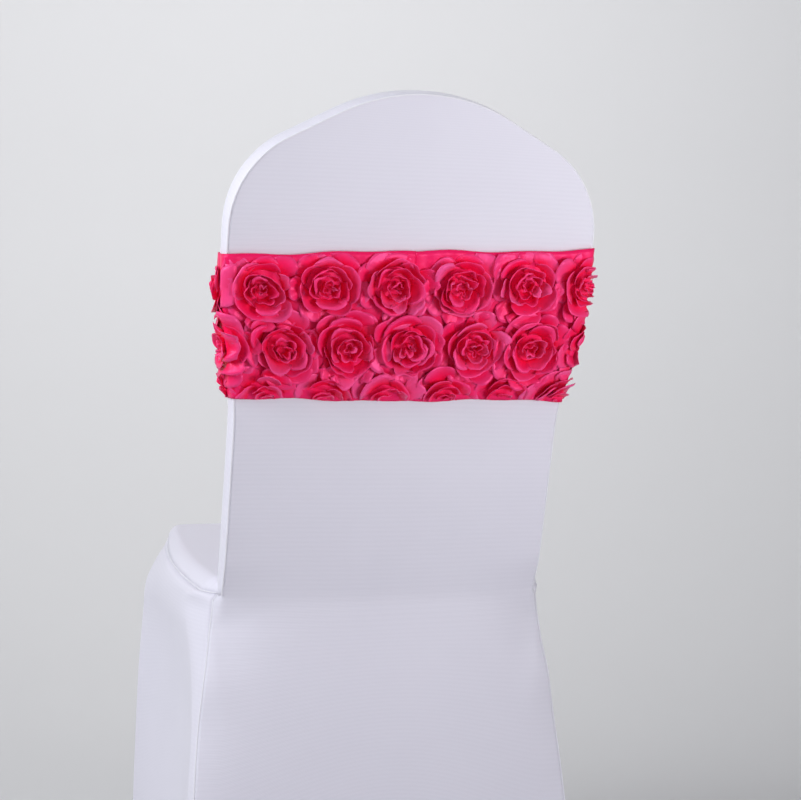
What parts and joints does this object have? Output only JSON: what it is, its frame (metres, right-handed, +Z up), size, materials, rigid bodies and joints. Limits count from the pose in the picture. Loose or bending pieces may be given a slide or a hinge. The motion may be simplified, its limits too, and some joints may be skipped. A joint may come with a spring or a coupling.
{
  "type": "stretch chair cover",
  "caption": "Tight stretch cover for a banquet chair, with a rounded back, a welted seat, an arched hem and a fitted band of ruffled satin rosettes round the back.",
  "frame": {"origin": "on the floor under the middle of the cover's box", "axes": "+Z up, the seat's front faces -Y, the outside back faces +Y, +X is left in the picture's view of the outside back"},
  "size_m": [0.432, 0.5712, 0.9591],
  "materials": {
    "spandex": "fine white stretch knit with a soft sheen",
    "satin": "hot pink polyester satin ribbon, gathered into rosettes"
  },
  "bodies": {
    "root": {"back_panel": "spandex", "back_gusset": "spandex", "inside_back": "spandex", "seat_top": "spandex", "skirt": "spandex", "rosette_band": "satin"}
  },
  "joints": []
}
